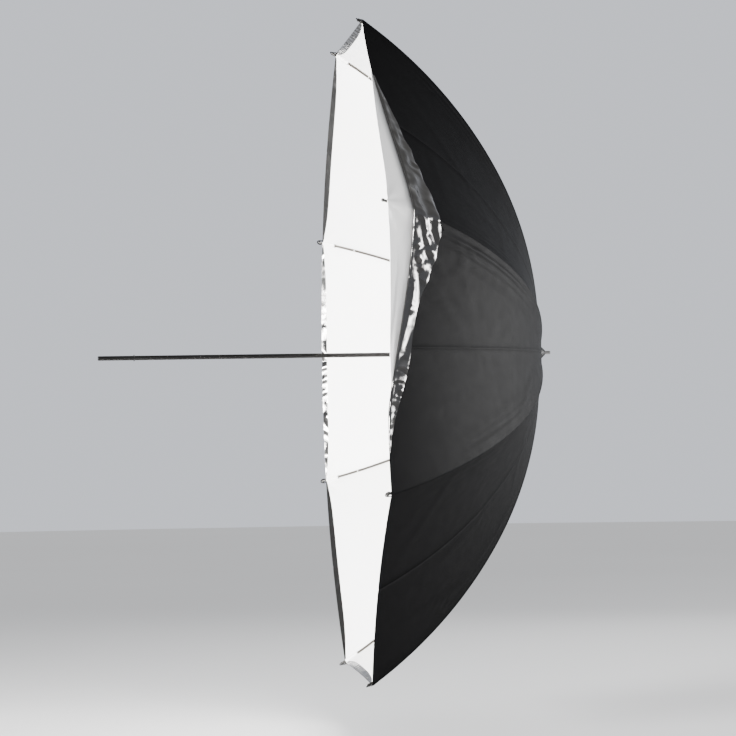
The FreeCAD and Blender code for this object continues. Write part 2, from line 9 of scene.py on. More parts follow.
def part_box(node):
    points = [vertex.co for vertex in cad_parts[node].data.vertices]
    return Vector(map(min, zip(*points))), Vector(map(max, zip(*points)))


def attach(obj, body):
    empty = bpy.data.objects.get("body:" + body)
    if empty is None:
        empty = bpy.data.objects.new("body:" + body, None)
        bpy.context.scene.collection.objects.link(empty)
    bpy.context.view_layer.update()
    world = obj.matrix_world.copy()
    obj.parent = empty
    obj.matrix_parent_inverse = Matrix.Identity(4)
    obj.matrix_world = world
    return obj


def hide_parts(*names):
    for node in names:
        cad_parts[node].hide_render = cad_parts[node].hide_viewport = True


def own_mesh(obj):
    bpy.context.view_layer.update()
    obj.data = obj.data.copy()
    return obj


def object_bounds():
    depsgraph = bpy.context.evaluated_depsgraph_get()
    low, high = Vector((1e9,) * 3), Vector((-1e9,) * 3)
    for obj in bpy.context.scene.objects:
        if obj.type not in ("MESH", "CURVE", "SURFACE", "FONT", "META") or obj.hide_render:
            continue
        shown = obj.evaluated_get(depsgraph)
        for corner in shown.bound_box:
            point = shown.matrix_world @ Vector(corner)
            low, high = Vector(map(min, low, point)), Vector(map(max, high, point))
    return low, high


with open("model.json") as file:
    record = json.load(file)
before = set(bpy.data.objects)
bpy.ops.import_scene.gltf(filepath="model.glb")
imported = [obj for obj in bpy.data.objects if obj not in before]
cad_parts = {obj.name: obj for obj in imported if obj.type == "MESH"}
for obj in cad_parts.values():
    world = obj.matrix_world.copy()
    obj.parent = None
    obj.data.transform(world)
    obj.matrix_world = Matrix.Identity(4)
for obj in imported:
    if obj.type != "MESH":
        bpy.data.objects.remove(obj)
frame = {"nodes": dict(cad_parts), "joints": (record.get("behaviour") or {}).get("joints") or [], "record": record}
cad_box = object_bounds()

# The looks of the umbrella reflector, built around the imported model. Lengths are in metres. The
# shaft runs along X, the bowl opens towards -X, and rib k lies in its own half-plane through the
# shaft. Gore k is the cloth between rib k and the next. Cloth is made on one grid round the shaft,
# so that it runs on smoothly from gore to gore, and is then cut into pieces that ride on the ribs.

MM = 0.001
RIBS = 8
GORE = 2 * math.pi / RIBS
FIRST_RIB = GORE / 2
UNHOOKED_RIB = 2

# The rib's curve: two tangent arcs, by their radii and where they meet along the rib. RIB_LEAN is
# its slope at the pivot.
RIB_LEAN = math.radians(1.04)
INNER_BEND, OUTER_BEND = 0.600, 0.715
BEND_CHANGE = 0.304
RIB_LENGTH = 0.6104

# Cloth: its thickness, how far its middle lies above the rib's centre line, where it starts and
# ends along a rib, how far the canopy's hem is hollowed and the cloth sags midway between ribs, how
# far from a rib it starts to lie round it, and the widths and extra thickness of its hems.
CLOTH = 0.0004
CANOPY_LIFT = 0.0023
COVER_LIFT = 0.0036
CLOTH_START = 0.0029
CANOPY_EDGE = RIB_LENGTH - 0.006
COVER_EDGE = RIB_LENGTH - 0.004
CANOPY_HOLLOW = 0.009
SAG = 0.008
ROUNDING = 0.003
CANOPY_HEM, COVER_HEM, FLAP_HEM = 0.0055, 0.0094, 0.0080
HEM_RAISED, FLAP_HEM_RAISED = 0.0004, 0.0006

# How far a piece's last row is tucked under or over the next piece.
TUCK = 0.00045

# The cover's unhooked corner, turned back over its outside: the fold's depth at the rib, how far
# the corner reaches from the fold and slips towards the next gore, the width of the rolled edge
# beside it, the narrowest flap that is made, and the cloth that its fold takes up.
TURNED_BACK = 0.049
FOLD_RADIUS = 0.0022
CORNER_REACH = 0.050
CORNER_SLIP = 0.012
ROLLED_WIDTH = 0.022
NARROWEST_FLAP = 0.0016

joints = {joint["name"]: joint for joint in frame["joints"]}
pivot = Vector(joints["rib_1_fold"]["pos_m"])
PIVOT_X, PIVOT_RADIUS = pivot.x, math.hypot(pivot.y, pivot.z)


# ---------------------------------------------------------------- places on the ribs


def rib_angle(rib):
    return FIRST_RIB + (np.asarray(rib) - 1) * GORE


def radial(angle):
    """Unit vectors away from the shaft, at angles from the vertical."""
    angle = np.asarray(angle)
    return np.stack([0 * angle, -np.sin(angle), np.cos(angle)], axis=-1)


def rib_curve(along, lift=0.0):
    """Returns x, radius and lean at lengths along a rib, at a height above its centre line."""
    along = np.asarray(along, float)
    change_lean = RIB_LEAN + BEND_CHANGE / INNER_BEND
    inner_x = PIVOT_X - INNER_BEND * math.cos(RIB_LEAN)
    inner_r = PIVOT_RADIUS - INNER_BEND * math.sin(RIB_LEAN)
    outer_x = inner_x + (INNER_BEND - OUTER_BEND) * math.cos(change_lean)
    outer_r = inner_r + (INNER_BEND - OUTER_BEND) * math.sin(change_lean)
    inner = along <= BEND_CHANGE
    lean = np.where(
        inner, RIB_LEAN + along / INNER_BEND, change_lean + (along - BEND_CHANGE) / OUTER_BEND
    )
    reach = np.where(inner, INNER_BEND, OUTER_BEND) + lift
    x = np.where(inner, inner_x, outer_x) + reach * np.cos(lean)
    radius = np.where(inner, inner_r, outer_r) + reach * np.sin(lean)
    return x, radius, lean


def rib_place(rib, along, lift=0.0, aside=0.0):
    """A point beside a rib: along it, above its centre line, and to the side of its plane."""
    x, radius, _ = rib_curve(along, lift)
    angle = float(rib_angle(rib))
    side = Vector((0, math.cos(angle), math.sin(angle)))
    return Vector(radial(angle)) * float(radius) + side * aside + Vector((float(x), 0, 0))


def smooth(value, low, high):
    """Runs smoothly from 0 at low to 1 at high."""
    share = np.clip((value - low) / (high - low), 0, 1)
    return share * share * (3 - 2 * share)


def bump(distance, width):
    """1 at no distance, falling smoothly to 0 over about twice the width."""
    return np.exp(-((distance / width) ** 2))


# ---------------------------------------------------------------- the grid of a cloth

# A gore's columns: their distances from its rib and from its middle, and how many lie between
# those, plus one. Where the gore is narrower than NARROWEST, they draw together. RIM_WIDTH is about
# the gore's width at the rim, where the rows' lengths are worked out.
BESIDE_RIB = np.array([0, 0.8, 1.6, 2.6, 4, 7, 10, 13, 16, 19, 22, 25.5, 29, 33, 38, 45]) * MM
BESIDE_MIDDLE = np.array([9.6, 4, 1.28, 0]) * MM
ACROSS_REST = 13
NARROWEST = 0.13
RIM_WIDTH = 0.4


def half_gore_shares(width):
    """Shares of a gore's width from its rib to its middle, closest beside the rib."""
    wide = np.maximum(width, NARROWEST)[:, None]
    near = BESIDE_RIB / wide
    last = near[:, -1:]
    middle = 0.5 - BESIDE_MIDDLE / wide
    steps = np.arange(1, ACROSS_REST) / ACROSS_REST
    rest = last + (middle[:, :1] - last) * steps
    return np.concatenate([near, rest, middle], axis=1)


def gore_width(along):
    """The distance between neighbouring ribs."""
    radius = rib_curve(along)[1]
    return 2 * radius * math.sin(GORE / 2)


class Lay:
    """Places of a cloth's points: their gore, share of its width, and length along the ribs."""

    def __init__(self, gore, share, along):
        self.gore, self.share, self.along = gore, share, along
        self.lean = rib_curve(along)[2]
        self.width = gore_width(along)
        self.from_rib = np.minimum(share, 1 - share) * self.width

    def on_chord(self, lift):
        """The cloth stretched straight from rib to rib, at a height above the ribs."""
        x, radius, _ = rib_curve(self.along, lift)
        start = radial(rib_angle(self.gore))
        end = radial(rib_angle(self.gore + 1))
        share = self.share[..., None]
        place = radius[..., None] * ((1 - share) * start + share * end)
        place[..., 0] += x
        return place

    def outward(self):
        """Unit normals of the straight cloth, turning smoothly over each rib."""
        start, end = rib_angle(self.gore), rib_angle(self.gore + 1)
        angle = start + GORE / 2
        turned = 1 - smooth(self.from_rib, 0.0, 0.005)
        angle = angle + np.where(self.share < 0.5, start - angle, end - angle) * turned
        flat = math.cos(GORE / 2) + (1 - math.cos(GORE / 2)) * turned
        normal = radial(angle) * np.sin(self.lean)[..., None]
        normal[..., 0] = np.cos(self.lean) * flat
        return normal / np.linalg.norm(normal, axis=-1, keepdims=True)

    def dip(self):
        """A height, 0 or less, that rounds off the cloth's corner over each rib."""
        near = np.minimum(self.from_rib, ROUNDING)
        dip = math.sin(GORE / 2) * (near - near**2 / (2 * ROUNDING) - ROUNDING / 2)
        return dip * np.sin(self.lean)


class Grid(Lay):
    """A whole cloth: rows along the ribs and columns round the shaft."""

    def __init__(self, rows, edge):
        """rows turns an edge's length along the rib into the lengths of a column's rows."""
        self.half = len(BESIDE_RIB) + len(BESIDE_MIDDLE) + ACROSS_REST - 2
        column = np.arange(-self.half, self.half)
        rib = np.repeat(np.arange(1, RIBS + 1), len(column))
        step = np.tile(column, RIBS)
        gore = np.where(step < 0, (rib - 2) % RIBS + 1, rib)
        rim_share = half_gore_shares(np.array([RIM_WIDTH]))[0][abs(step)]
        rim_share = np.where(step < 0, 1 - rim_share, rim_share)
        along = rows(edge(gore, rim_share))
        width = gore_width(along)
        share = np.stack(
            [half_gore_shares(width[:, i])[:, abs(step[i])] for i in range(len(step))], axis=1
        )
        super().__init__(gore, np.where(step < 0, 1 - share, share), along)
        self.edge = edge(self.gore, self.share)
        self.from_middle = abs(self.share - 0.5) * width
        self.aside = np.where(step < 0, -self.from_rib, self.from_rib)

    def columns_of(self, rib):
        first = 2 * self.half * (rib - 1)
        return np.arange(first, first + 2 * self.half + 1) % (2 * self.half * RIBS)


def normals_of(points, ring=True):
    """Smooth unit normals of a grid, away from the bowl's inside."""
    if ring:
        across = np.roll(points, -1, axis=1) - np.roll(points, 1, axis=1)
    else:
        across = np.gradient(points, axis=1)
    down = np.gradient(points, axis=0)
    normal = np.cross(down, across)
    return normal / np.maximum(np.linalg.norm(normal, axis=-1, keepdims=True), 1e-12)


def draped(grid, lift, shape):
    """The cloth's middle surface and its normals. shape is how far it bulges outward."""
    points = grid.on_chord(lift) + grid.outward() * (shape + grid.dip())[..., None]
    return points, normals_of(points)


# ---------------------------------------------------------------- meshes


def new_piece(name, points, faces, materials, indices=None, smooth_faces=None):
    """A mesh object. indices and smooth_faces say each face's material and smoothness."""
    mesh = bpy.data.meshes.new(name)
    mesh.from_pydata([tuple(point) for point in points], [], faces)
    for material in materials:
        mesh.materials.append(material)
    if indices is not None:
        mesh.polygons.foreach_set("material_index", indices)
    if smooth_faces is not None:
        mesh.polygons.foreach_set("use_smooth", smooth_faces)
    mesh.update()
    piece = bpy.data.objects.new(name, mesh)
    bpy.context.scene.collection.objects.link(piece)
    return piece


def cloth_piece(name, points, normals, across, along, materials, thickness=CLOTH, ridge=0.0):
    """A thin closed cloth from a grid of points, its inside first in materials.

    across and along are metres in the cloth, for its weave. ridge raises the outside alone.
    """
    rows, columns = points.shape[:2]
    thickness = np.broadcast_to(thickness, (rows, columns))[..., None]
    ridge = np.broadcast_to(ridge, (rows, columns))[..., None]
    inside = points - normals * thickness / 2
    outside = points + normals * (thickness / 2 + ridge)
    corners = np.concatenate([inside.reshape(-1, 3), outside.reshape(-1, 3)])
    count = rows * columns
    index = np.arange(count).reshape(rows, columns)
    a, b = index[:-1, :-1].ravel(), index[:-1, 1:].ravel()
    c, d = index[1:, 1:].ravel(), index[1:, :-1].ravel()
    inner_faces = np.stack([a, b, c, d], axis=1)
    outer_faces = np.stack([a, d, c, b], axis=1) + count
    rim = np.concatenate([index[0, :], index[1:, -1], index[-1, -2::-1], index[-2:0:-1, 0]])
    following = np.roll(rim, -1)
    walls = np.stack([rim, rim + count, following + count, following], axis=1)
    faces = np.concatenate([inner_faces, outer_faces, walls])
    cells = len(inner_faces)
    indices = [0] * cells + [1] * (cells + len(walls))
    smooth_faces = [True] * (2 * cells) + [False] * len(walls)
    piece = new_piece(name, corners, faces.tolist(), materials, indices, smooth_faces)
    mesh = piece.data
    vertex = np.zeros(len(mesh.loops), np.int32)
    mesh.loops.foreach_get("vertex_index", vertex)
    sides = np.concatenate([-normals.reshape(-1, 3), normals.reshape(-1, 3)])
    loop_normals = sides[vertex]
    loop_normals[8 * cells:] = 0
    mesh.normals_split_custom_set([tuple(normal) for normal in loop_normals])
    layout = np.stack([across, along], axis=-1).reshape(-1, 2)
    layer = mesh.uv_layers.new(name="cloth")
    layer.data.foreach_set("uv", np.concatenate([layout, layout])[vertex].ravel())
    return piece


def swept(name, path, sections, material, closed=False):
    """A tube whose sections, lists of points about each point of its path, are joined up."""
    count = len(sections[0])
    points = [tuple(place + offset) for place, ring in zip(path, sections) for offset in ring]
    faces = []
    for i in range(len(path) if closed else len(path) - 1):
        this, after = i * count, (i + 1) % len(path) * count
        for j in range(count):
            k = (j + 1) % count
            faces.append((this + j, this + k, after + k, after + j))
    if not closed:
        faces.append(tuple(range(count))[::-1])
        faces.append(tuple(range(len(points) - count, len(points))))
    return new_piece(name, points, faces, [material], None, [True] * len(faces))


def joined(name, pieces):
    """Makes one piece of several."""
    with bpy.context.temp_override(active_object=pieces[0], selected_editable_objects=pieces):
        bpy.ops.object.join()
    pieces[0].name = name
    return pieces[0]


# ---------------------------------------------------------------- materials


def new_material(name, **sockets):
    """A material with one Principled shader. Sockets are set by name, with _ for a space."""
    material = bpy.data.materials.new(name)
    material.use_nodes = True
    shader = material.node_tree.nodes["Principled BSDF"]
    for socket, given in sockets.items():
        shader.inputs[socket.replace("_", " ")].default_value = given
    return material, material.node_tree, shader


def add(tree, kind, inputs=None, **settings):
    """Adds a node. An input is a value, or another node's socket to link."""
    node = tree.nodes.new(kind)
    for name, setting in settings.items():
        setattr(node, name, setting)
    for name, given in (inputs or {}).items():
        if isinstance(given, bpy.types.NodeSocket):
            tree.links.new(given, node.inputs[name])
        else:
            node.inputs[name].default_value = given
    return node


def maths(tree, operation, first, second=0.0):
    return add(tree, "ShaderNodeMath", {0: first, 1: second}, operation=operation).outputs[0]


def ramp(tree, factor, stops):
    """A colour ramp through stops of position and grey or colour."""
    node = add(tree, "ShaderNodeValToRGB", {"Fac": factor})
    elements = node.color_ramp.elements
    while len(elements) < len(stops):
        elements.new(0.5)
    for element, (position, colour) in zip(elements, stops):
        element.position = position
        element.color = (colour, colour, colour, 1) if isinstance(colour, float) else (*colour, 1)
    return node.outputs["Color"]


def vary(tree, shader, socket, factor, stops):
    """Makes a socket of the shader follow a factor, through a ramp."""
    tree.links.new(ramp(tree, factor, stops), shader.inputs[socket])


def noise(tree, scale, detail=4.0, kind="FBM", stretch=(1, 1, 1), roughness=0.5):
    """Noise in the object's own space. scale is in lumps to the metre."""
    place = add(tree, "ShaderNodeTexCoord").outputs["Object"]
    mapping = add(tree, "ShaderNodeMapping", {"Vector": place, "Scale": stretch})
    inputs = {
        "Vector": mapping.outputs[0],
        "Scale": scale,
        "Detail": detail,
        "Roughness": roughness,
    }
    return add(tree, "ShaderNodeTexNoise", inputs, noise_type=kind).outputs[0]


def raise_bump(tree, shader, height, distance, strength=1.0):
    """Adds a height in metres to the shader's bump, on top of any bump that it has."""
    inputs = {"Height": height, "Distance": distance, "Strength": strength}
    socket = shader.inputs["Normal"]
    if socket.is_linked:
        inputs["Normal"] = socket.links[0].from_socket
    tree.links.new(add(tree, "ShaderNodeBump", inputs).outputs[0], socket)


def weave(tree, shader, pitch, depth):
    """Plain weave: threads over and under one another, in the cloth's own directions."""
    layout = add(tree, "ShaderNodeUVMap", uv_map="cloth").outputs[0]
    parts = add(tree, "ShaderNodeSeparateXYZ", {"Vector": layout})
    turn = math.pi / pitch
    warp = maths(tree, "SINE", maths(tree, "MULTIPLY", parts.outputs["X"], turn))
    weft = maths(tree, "SINE", maths(tree, "MULTIPLY", parts.outputs["Y"], turn))
    raise_bump(tree, shader, maths(tree, "MULTIPLY", warp, weft), depth)


def white_cloth(name="white_cloth", woven=True):
    material, tree, shader = new_material(
        name, Roughness=0.55, Specular_IOR_Level=0.35, Sheen_Weight=0.15, Sheen_Roughness=0.4
    )
    shades = [(0.3, (0.86, 0.845, 0.82)), (0.7, (0.90, 0.895, 0.885))]
    vary(tree, shader, "Base Color", noise(tree, 5.0, 3.0), shades)
    if woven:
        weave(tree, shader, 0.00042, 0.00004)
    raise_bump(tree, shader, noise(tree, 38.0, 3.0), 0.0005, 0.35)
    return material


def black_cloth():
    material, tree, shader = new_material("black_cloth", Specular_IOR_Level=0.03)
    shades = [(0.3, (0.0011, 0.0010, 0.0012)), (0.7, (0.0014, 0.0013, 0.0015))]
    vary(tree, shader, "Base Color", noise(tree, 9.0, 4.0), shades)
    vary(tree, shader, "Roughness", noise(tree, 60.0, 5.0), [(0.3, 0.50), (0.75, 0.55)])
    weave(tree, shader, 0.0005, 0.00003)
    raise_bump(tree, shader, noise(tree, 24.0, 4.0, "RIDGED_MULTIFRACTAL"), 0.0006, 0.3)
    return material


def silver_cloth():
    material, tree, shader = new_material("silver_cloth", Metallic=1.0)
    crinkle_height_and_shade = noise(tree, 48.0, 2.5, "RIDGED_MULTIFRACTAL", roughness=0.5)
    # The crinkles' height also sets the base colour: darker in their hollows as painted shade, and lighter on
    # their ridges as painted highlight.
    shades = [(0.2, (0.09, 0.088, 0.086)), (0.9, (0.26, 0.255, 0.247))]
    vary(tree, shader, "Base Color", crinkle_height_and_shade, shades)
    vary(tree, shader, "Roughness", noise(tree, 90.0, 4.0), [(0.3, 0.09), (0.8, 0.20)])
    weave(tree, shader, 0.0005, 0.000008)
    raise_bump(tree, shader, crinkle_height_and_shade, 0.0045, 0.9)
    raise_bump(tree, shader, noise(tree, 170.0, 3.0), 0.0004, 0.4)
    return material


def metal(name, colour, roughness, streak, stretch=(1, 1, 1)):
    """Metal whose brightness and gloss vary along fine streaks."""
    material, tree, shader = new_material(name, Metallic=1.0)
    streaks = noise(tree, streak, 4.0, stretch=stretch)
    dark = tuple(0.82 * channel for channel in colour)
    vary(tree, shader, "Base Color", streaks, [(0.3, dark), (0.7, colour)])
    vary(tree, shader, "Roughness", streaks, [(0.25, 0.8 * roughness), (0.75, 1.25 * roughness)])
    raise_bump(tree, shader, streaks, 0.00004, 0.4)
    return material


def plastic(name, colour, roughness):
    """Moulded plastic with a fine grain."""
    material, tree, shader = new_material(name, Specular_IOR_Level=0.25)
    lighter = tuple(1.5 * channel for channel in colour)
    grain = noise(tree, 900.0, 3.0)
    vary(tree, shader, "Base Color", grain, [(0.3, colour), (0.8, lighter)])
    gloss = [(0.3, roughness), (0.7, roughness + 0.12)]
    vary(tree, shader, "Roughness", noise(tree, 120.0, 4.0), gloss)
    raise_bump(tree, shader, grain, 0.00005, 0.6)
    return material


def thread(name, colour):
    """Twisted thread or covered elastic."""
    material, tree, shader = new_material(name, Roughness=0.8, Specular_IOR_Level=0.1)
    twist = noise(tree, 2600.0, 2.0)
    darker = tuple(0.7 * channel for channel in colour)
    vary(tree, shader, "Base Color", twist, [(0.3, darker), (0.7, colour)])
    raise_bump(tree, shader, twist, 0.0001, 0.5)
    return material


# Draws noise out into streaks along X.
ALONG_SHAFT = (0.06, 1, 1)

MATERIALS = {
    "shaft_steel": metal("shaft_steel", (0.035, 0.034, 0.033), 0.24, 700.0, ALONG_SHAFT),
    "rib_steel": metal("rib_steel", (0.105, 0.094, 0.082), 0.38, 420.0),
    "bright_steel": metal("bright_steel", (0.30, 0.295, 0.285), 0.26, 500.0),
    "tip_steel": metal("tip_steel", (0.07, 0.068, 0.065), 0.32, 500.0),
    "black_plastic": plastic("black_plastic", (0.004, 0.004, 0.0045), 0.46),
    "white": white_cloth(),
    "white_plain": white_cloth("white_pocket", woven=False),
    "black": black_cloth(),
    "silver": silver_cloth(),
    "white_thread": thread("white_thread", (0.78, 0.77, 0.74)),
    "black_thread": thread("black_thread", (0.003, 0.003, 0.0032)),
}


def finish_cad_nodes():
    """Gives every CAD piece that stays in view its own finish."""
    slots = {}
    for part in frame["record"]["subparts"]:
        slots[part["node"]] = part["material_slot"]
    for name, node in frame["nodes"].items():
        finish = "tip_steel" if name.endswith("_tip") else slots[name]
        if finish in MATERIALS:
            node.data.materials.clear()
            node.data.materials.append(MATERIALS[finish])


# ---------------------------------------------------------------- how the cloth lies


# About one full turn, to draw phases from.
ANY_PHASE = 6.28


def sag(grid):
    """Cloth between two ribs is drawn in towards the shaft a little."""
    deep = SAG * smooth(grid.along, 0.0, 0.36)
    return -deep * 4 * grid.share * (1 - grid.share)


def seeded(gore, seed):
    """A number from 0 to 1 for each gore."""
    return np.random.default_rng(seed).random(RIBS + 1)[gore]


def canopy_edge(gore, share):
    """The hem's length along the rib: hollowed between ribs, straightest midway."""
    return CANOPY_EDGE - CANOPY_HOLLOW * (1 - abs(2 * share - 1) ** 4)


def canopy_shape(grid):
    """Tension marks of the white canopy: faint bands across, short pulls at the tips, and a
    slack fold beside the unhooked corner.
    """
    phase = ANY_PHASE * seeded(grid.gore, 3)
    bands = 0.00035 * np.sin(grid.along / 0.0105 + phase + 2 * grid.share)
    bands = bands * smooth(grid.along, 0.05, 0.2) * smooth(grid.from_rib, 0.004, 0.05)
    to_tip = CANOPY_EDGE - grid.along
    spread = np.hypot(to_tip, grid.from_rib) + MM
    pulls = 0.0007 * np.sin(9 * np.arctan2(grid.from_rib, to_tip + 0.004)) * bump(spread, 0.06)
    from_fold = to_tip - 0.042 * (1 - grid.share) ** 2.2
    slack_fold = -0.0016 * bump(from_fold, 0.0045) * smooth(grid.from_rib, 0.004, 0.03)
    slack_fold = slack_fold * (grid.gore == UNHOOKED_RIB)
    return sag(grid) + bands + pulls * smooth(spread, 0.004, 0.02) + slack_fold


def fold_depth(gore, share):
    """How far the cover is turned back, from the unhooked rib to its hooked neighbours."""
    before = TURNED_BACK * smooth(share, -0.05, 0.95)
    after = TURNED_BACK * (1 - np.minimum(share / 0.74, 1) ** 2) ** 1.35
    return np.where(gore == UNHOOKED_RIB - 1, before, np.where(gore == UNHOOKED_RIB, after, 0))


def flap_width(gore, share):
    """How far the turned-back cloth reaches from its fold."""
    before = CORNER_REACH * np.clip((share - 0.24) / 0.76, 0, 1)
    rolled = ROLLED_WIDTH * (1 - smooth(share, 0.58, 0.92))
    after = rolled + (CORNER_REACH - ROLLED_WIDTH) * (1 - smooth(share, 0.0, 0.40))
    return np.where(gore == UNHOOKED_RIB - 1, before, np.where(gore == UNHOOKED_RIB, after, 0))


def fold_radius(gore, share):
    """The fold is tighter where the flap is narrow."""
    return np.minimum(FOLD_RADIUS, 0.2 * flap_width(gore, share))


def cover_edge(gore, share):
    """The cover's length along the rib, up to where its edge starts to fold."""
    return COVER_EDGE - fold_depth(gore, share) - fold_radius(gore, share)


def puckers(grid, rib_share, places, height, low, high):
    """Soft folds beside a rib, at places with strengths, between two lengths along it.

    rib_share is 0 for the gore's first rib and 1 for its last.
    """
    distance = abs(grid.share - rib_share) * grid.width
    reach = smooth(grid.along, low, (low + high) / 2) * (1 - smooth(grid.along, high - 0.15, high))
    drift = 0.55 + 0.5 * grid.along / RIB_LENGTH
    total = 0
    for place, strength in places:
        total = total + strength * bump(distance - place * drift, 0.0042)
    return height * reach * total


def creases(grid, seed, count, height):
    """Faint straight creases from packing, at seeded places and slants in each gore."""
    total = 0
    for number in range(count):
        start = 0.08 + 0.84 * seeded(grid.gore, seed + 10 * number)
        along = 0.2 + 0.36 * seeded(grid.gore, seed + 10 * number + 1)
        slant = math.pi * seeded(grid.gore, seed + 10 * number + 2)
        length = 0.05 + 0.07 * seeded(grid.gore, seed + 10 * number + 3)
        aside = (grid.share - start) * grid.width
        beyond = grid.along - along
        off = aside * np.cos(slant) + beyond * np.sin(slant)
        on = -aside * np.sin(slant) + beyond * np.cos(slant)
        total = total + height * bump(off, 0.006) * bump(on, length)
    return total


def cover_shape(grid):
    """The cover's puckers beside the ribs, its middle crease, and its packing creases."""
    unhooked = np.isin(grid.gore, (UNHOOKED_RIB - 1, UNHOOKED_RIB))
    slack = np.where(unhooked, 1.0, 0.35)
    beside = [(0.016, 1.0), (0.029, 0.8), (0.043, 0.6)]
    first = puckers(grid, 0, beside, 0.0022, 0.10, 0.56)
    last = puckers(grid, 1, beside, 0.0016, 0.12, 0.50)
    near_gore = np.where(grid.gore == UNHOOKED_RIB, 1.0, 0.4)
    crease = 0.0009 * bump(grid.from_middle, 0.0024) * smooth(grid.along, 0.03, 0.12)
    calm = smooth(grid.from_rib, 0.004, 0.02) * smooth(grid.edge - grid.along, 0.0, 0.02)
    packing = creases(grid, 20, 7, 0.0007) * calm
    return sag(grid) + slack * (near_gore * first + 0.6 * last) + crease + packing


# ---------------------------------------------------------------- canopy and cover

# Rows at the start and at the hem, by their distance from it, and evenly spread rows between the
# start and the rib's bend, and between the bend and the hem. BEND_ROW is the row at the bend.
START_ROWS = np.array([0, 1.6, 4, 7, 8.6, 9.4, 12, 18, 27]) * MM
HEM_ROWS = np.array([16, 13, 10.6, 9.7, 9.1, 8.0, 7.3, 6.9, 6.5, 5.2, 3.2, 1.4, 0.5, 0]) * MM
EVEN_ROWS = 24
BEND_ROW = len(START_ROWS) + EVEN_ROWS - 1


def cloth_rows(edge):
    """Lengths along the rib for each row of each column, closer at the start and the hem."""
    start = START_ROWS + CLOTH_START
    inner = np.linspace(start[-1], BEND_CHANGE, EVEN_ROWS + 1)[1:]
    fixed = np.concatenate([start, inner])[:, None] * np.ones_like(edge)
    hem = edge - HEM_ROWS[:, None]
    shares = np.linspace(0, 1, EVEN_ROWS + 2)[1:-1, None]
    outer = BEND_CHANGE + (hem[:1] - BEND_CHANGE) * shares
    return np.concatenate([fixed, outer, hem])


# A cloth's pieces along a rib: the rows that each ends at, and how much of its width it keeps when
# the umbrella is closed, which is most at the apex. The canopy keeps less and stays in the cover.
PIECE_ENDS = (11, 17, 24, BEND_ROW, 44, 70)
COVER_KEPT = (0.47, 0.35, 0.26, 0.17, 0.105, 0.06)
CANOPY_KEPT = (0.32, 0.24, 0.155, 0.095, 0.052, 0.052)


def hem_step(from_edge, width):
    """1 within a hem of this width, 0 beyond it."""
    return 1 - smooth(from_edge, width - 0.0006, width)


def hem_profile(grid, width):
    """How much thicker the turned hem is, with a groove where its stitches pull in."""
    inside = grid.edge - grid.along
    groove = bump(inside - 0.75 * width, 0.0004)
    return hem_step(inside, width) * (1 - 0.6 * groove)


def panel(name, grid, points, normals, rib, rows, materials, thickness, ridge):
    """One rib's share of a cloth, between two rows of its grid."""
    columns = grid.columns_of(rib)
    take = np.ix_(rows, columns)
    aside = grid.aside[take].copy()
    aside[:, -1] = abs(aside[:, -1])
    return cloth_piece(
        name, points[take], normals[take], aside, grid.along[take], materials,
        thickness[take], ridge[take],
    )


def closing(piece):
    """Gives a cloth piece a mesh of its own."""
    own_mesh(piece)


def make_cloth(kind, grid, lift, shape, materials, thickness, ridge, tuck, all_kept):
    """Makes a whole cloth in pieces, several along each rib.

    Each piece but the last runs on for one row under or over the next one, so that no gap opens
    between them when the rib straightens or the cloth is gathered.
    """
    points, normals = draped(grid, lift, shape)
    start = 0
    for number, (end, kept) in enumerate(zip(PIECE_ENDS, all_kept), start=1):
        tongue = 0 if number == len(PIECE_ENDS) else 1
        rows = np.arange(start, end + 1 + tongue)
        places = points.copy()
        places[end + tongue] += tongue * tuck * normals[end + tongue]
        outer = start >= BEND_ROW
        for rib in range(1, RIBS + 1):
            piece = panel(
                f"{kind}_{rib}_{number}", grid, places, normals, rib, rows, materials,
                thickness, ridge,
            )
            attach(piece, f"rib_{rib}_end" if outer else f"rib_{rib}")
            closing(piece)
            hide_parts(f"{kind}_panel_{rib}")
            take = np.ix_(rows, grid.columns_of(rib))
        start = end


def make_canopy():
    """The white canopy, with raised seams over the ribs."""
    grid = Grid(cloth_rows, canopy_edge)
    seam = 0.0005 * bump(grid.from_rib, 0.0022)
    thickness = CLOTH + HEM_RAISED * hem_profile(grid, CANOPY_HEM)
    materials = [MATERIALS["white"], MATERIALS["white"]]
    make_cloth(
        "canopy", grid, CANOPY_LIFT, canopy_shape(grid), materials,
        thickness, seam, TUCK, CANOPY_KEPT,
    )


def make_cover():
    """The cover, silver inside and black outside, with seams and a patch round the apex."""
    grid = Grid(cloth_rows, cover_edge)
    turned = smooth(flap_width(grid.gore, grid.share), 0.0005, 0.003)
    seam = 0.0011 * bump(grid.from_rib, 0.0024)
    patch = 0.0005 * (1 - smooth(grid.along, 0.0112, 0.0122))
    thickness = CLOTH + HEM_RAISED * hem_profile(grid, COVER_HEM) * (1 - turned)
    materials = [MATERIALS["silver"], MATERIALS["black"]]
    make_cloth(
        "cover", grid, COVER_LIFT, cover_shape(grid), materials,
        thickness, seam + patch, -TUCK, COVER_KEPT,
    )


# ---------------------------------------------------------------- the turned-back corner

# Rows round the fold, and the rows beyond it as shares of the flap's width.
BEND_STEPS = 7
FLAP_SHARES = [0.05, 0.12, 0.2, 0.3, 0.4, 0.5, 0.6, 0.7, 0.78, 0.84, 0.88, 0.92, 0.96, 0.985, 1]


def crumple(along, aside):
    """Ridges of crinkled cloth, longest along the fold, with broad soft folds under them."""
    chance = np.random.default_rng(11)
    total = 1.6 * np.sin(along / 0.0052 + 5.5 * np.sin(aside / 0.045) + 1.1)
    for number in range(7):
        slant = chance.normal(0, 0.5)
        length = chance.uniform(0.007, 0.018)
        phase = chance.uniform(0, ANY_PHASE)
        towards = along * math.cos(slant) + aside * math.sin(slant) * 0.6
        total = total + (1 - 2 * abs(np.sin(towards / length + phase))) * length / 0.06
    return total


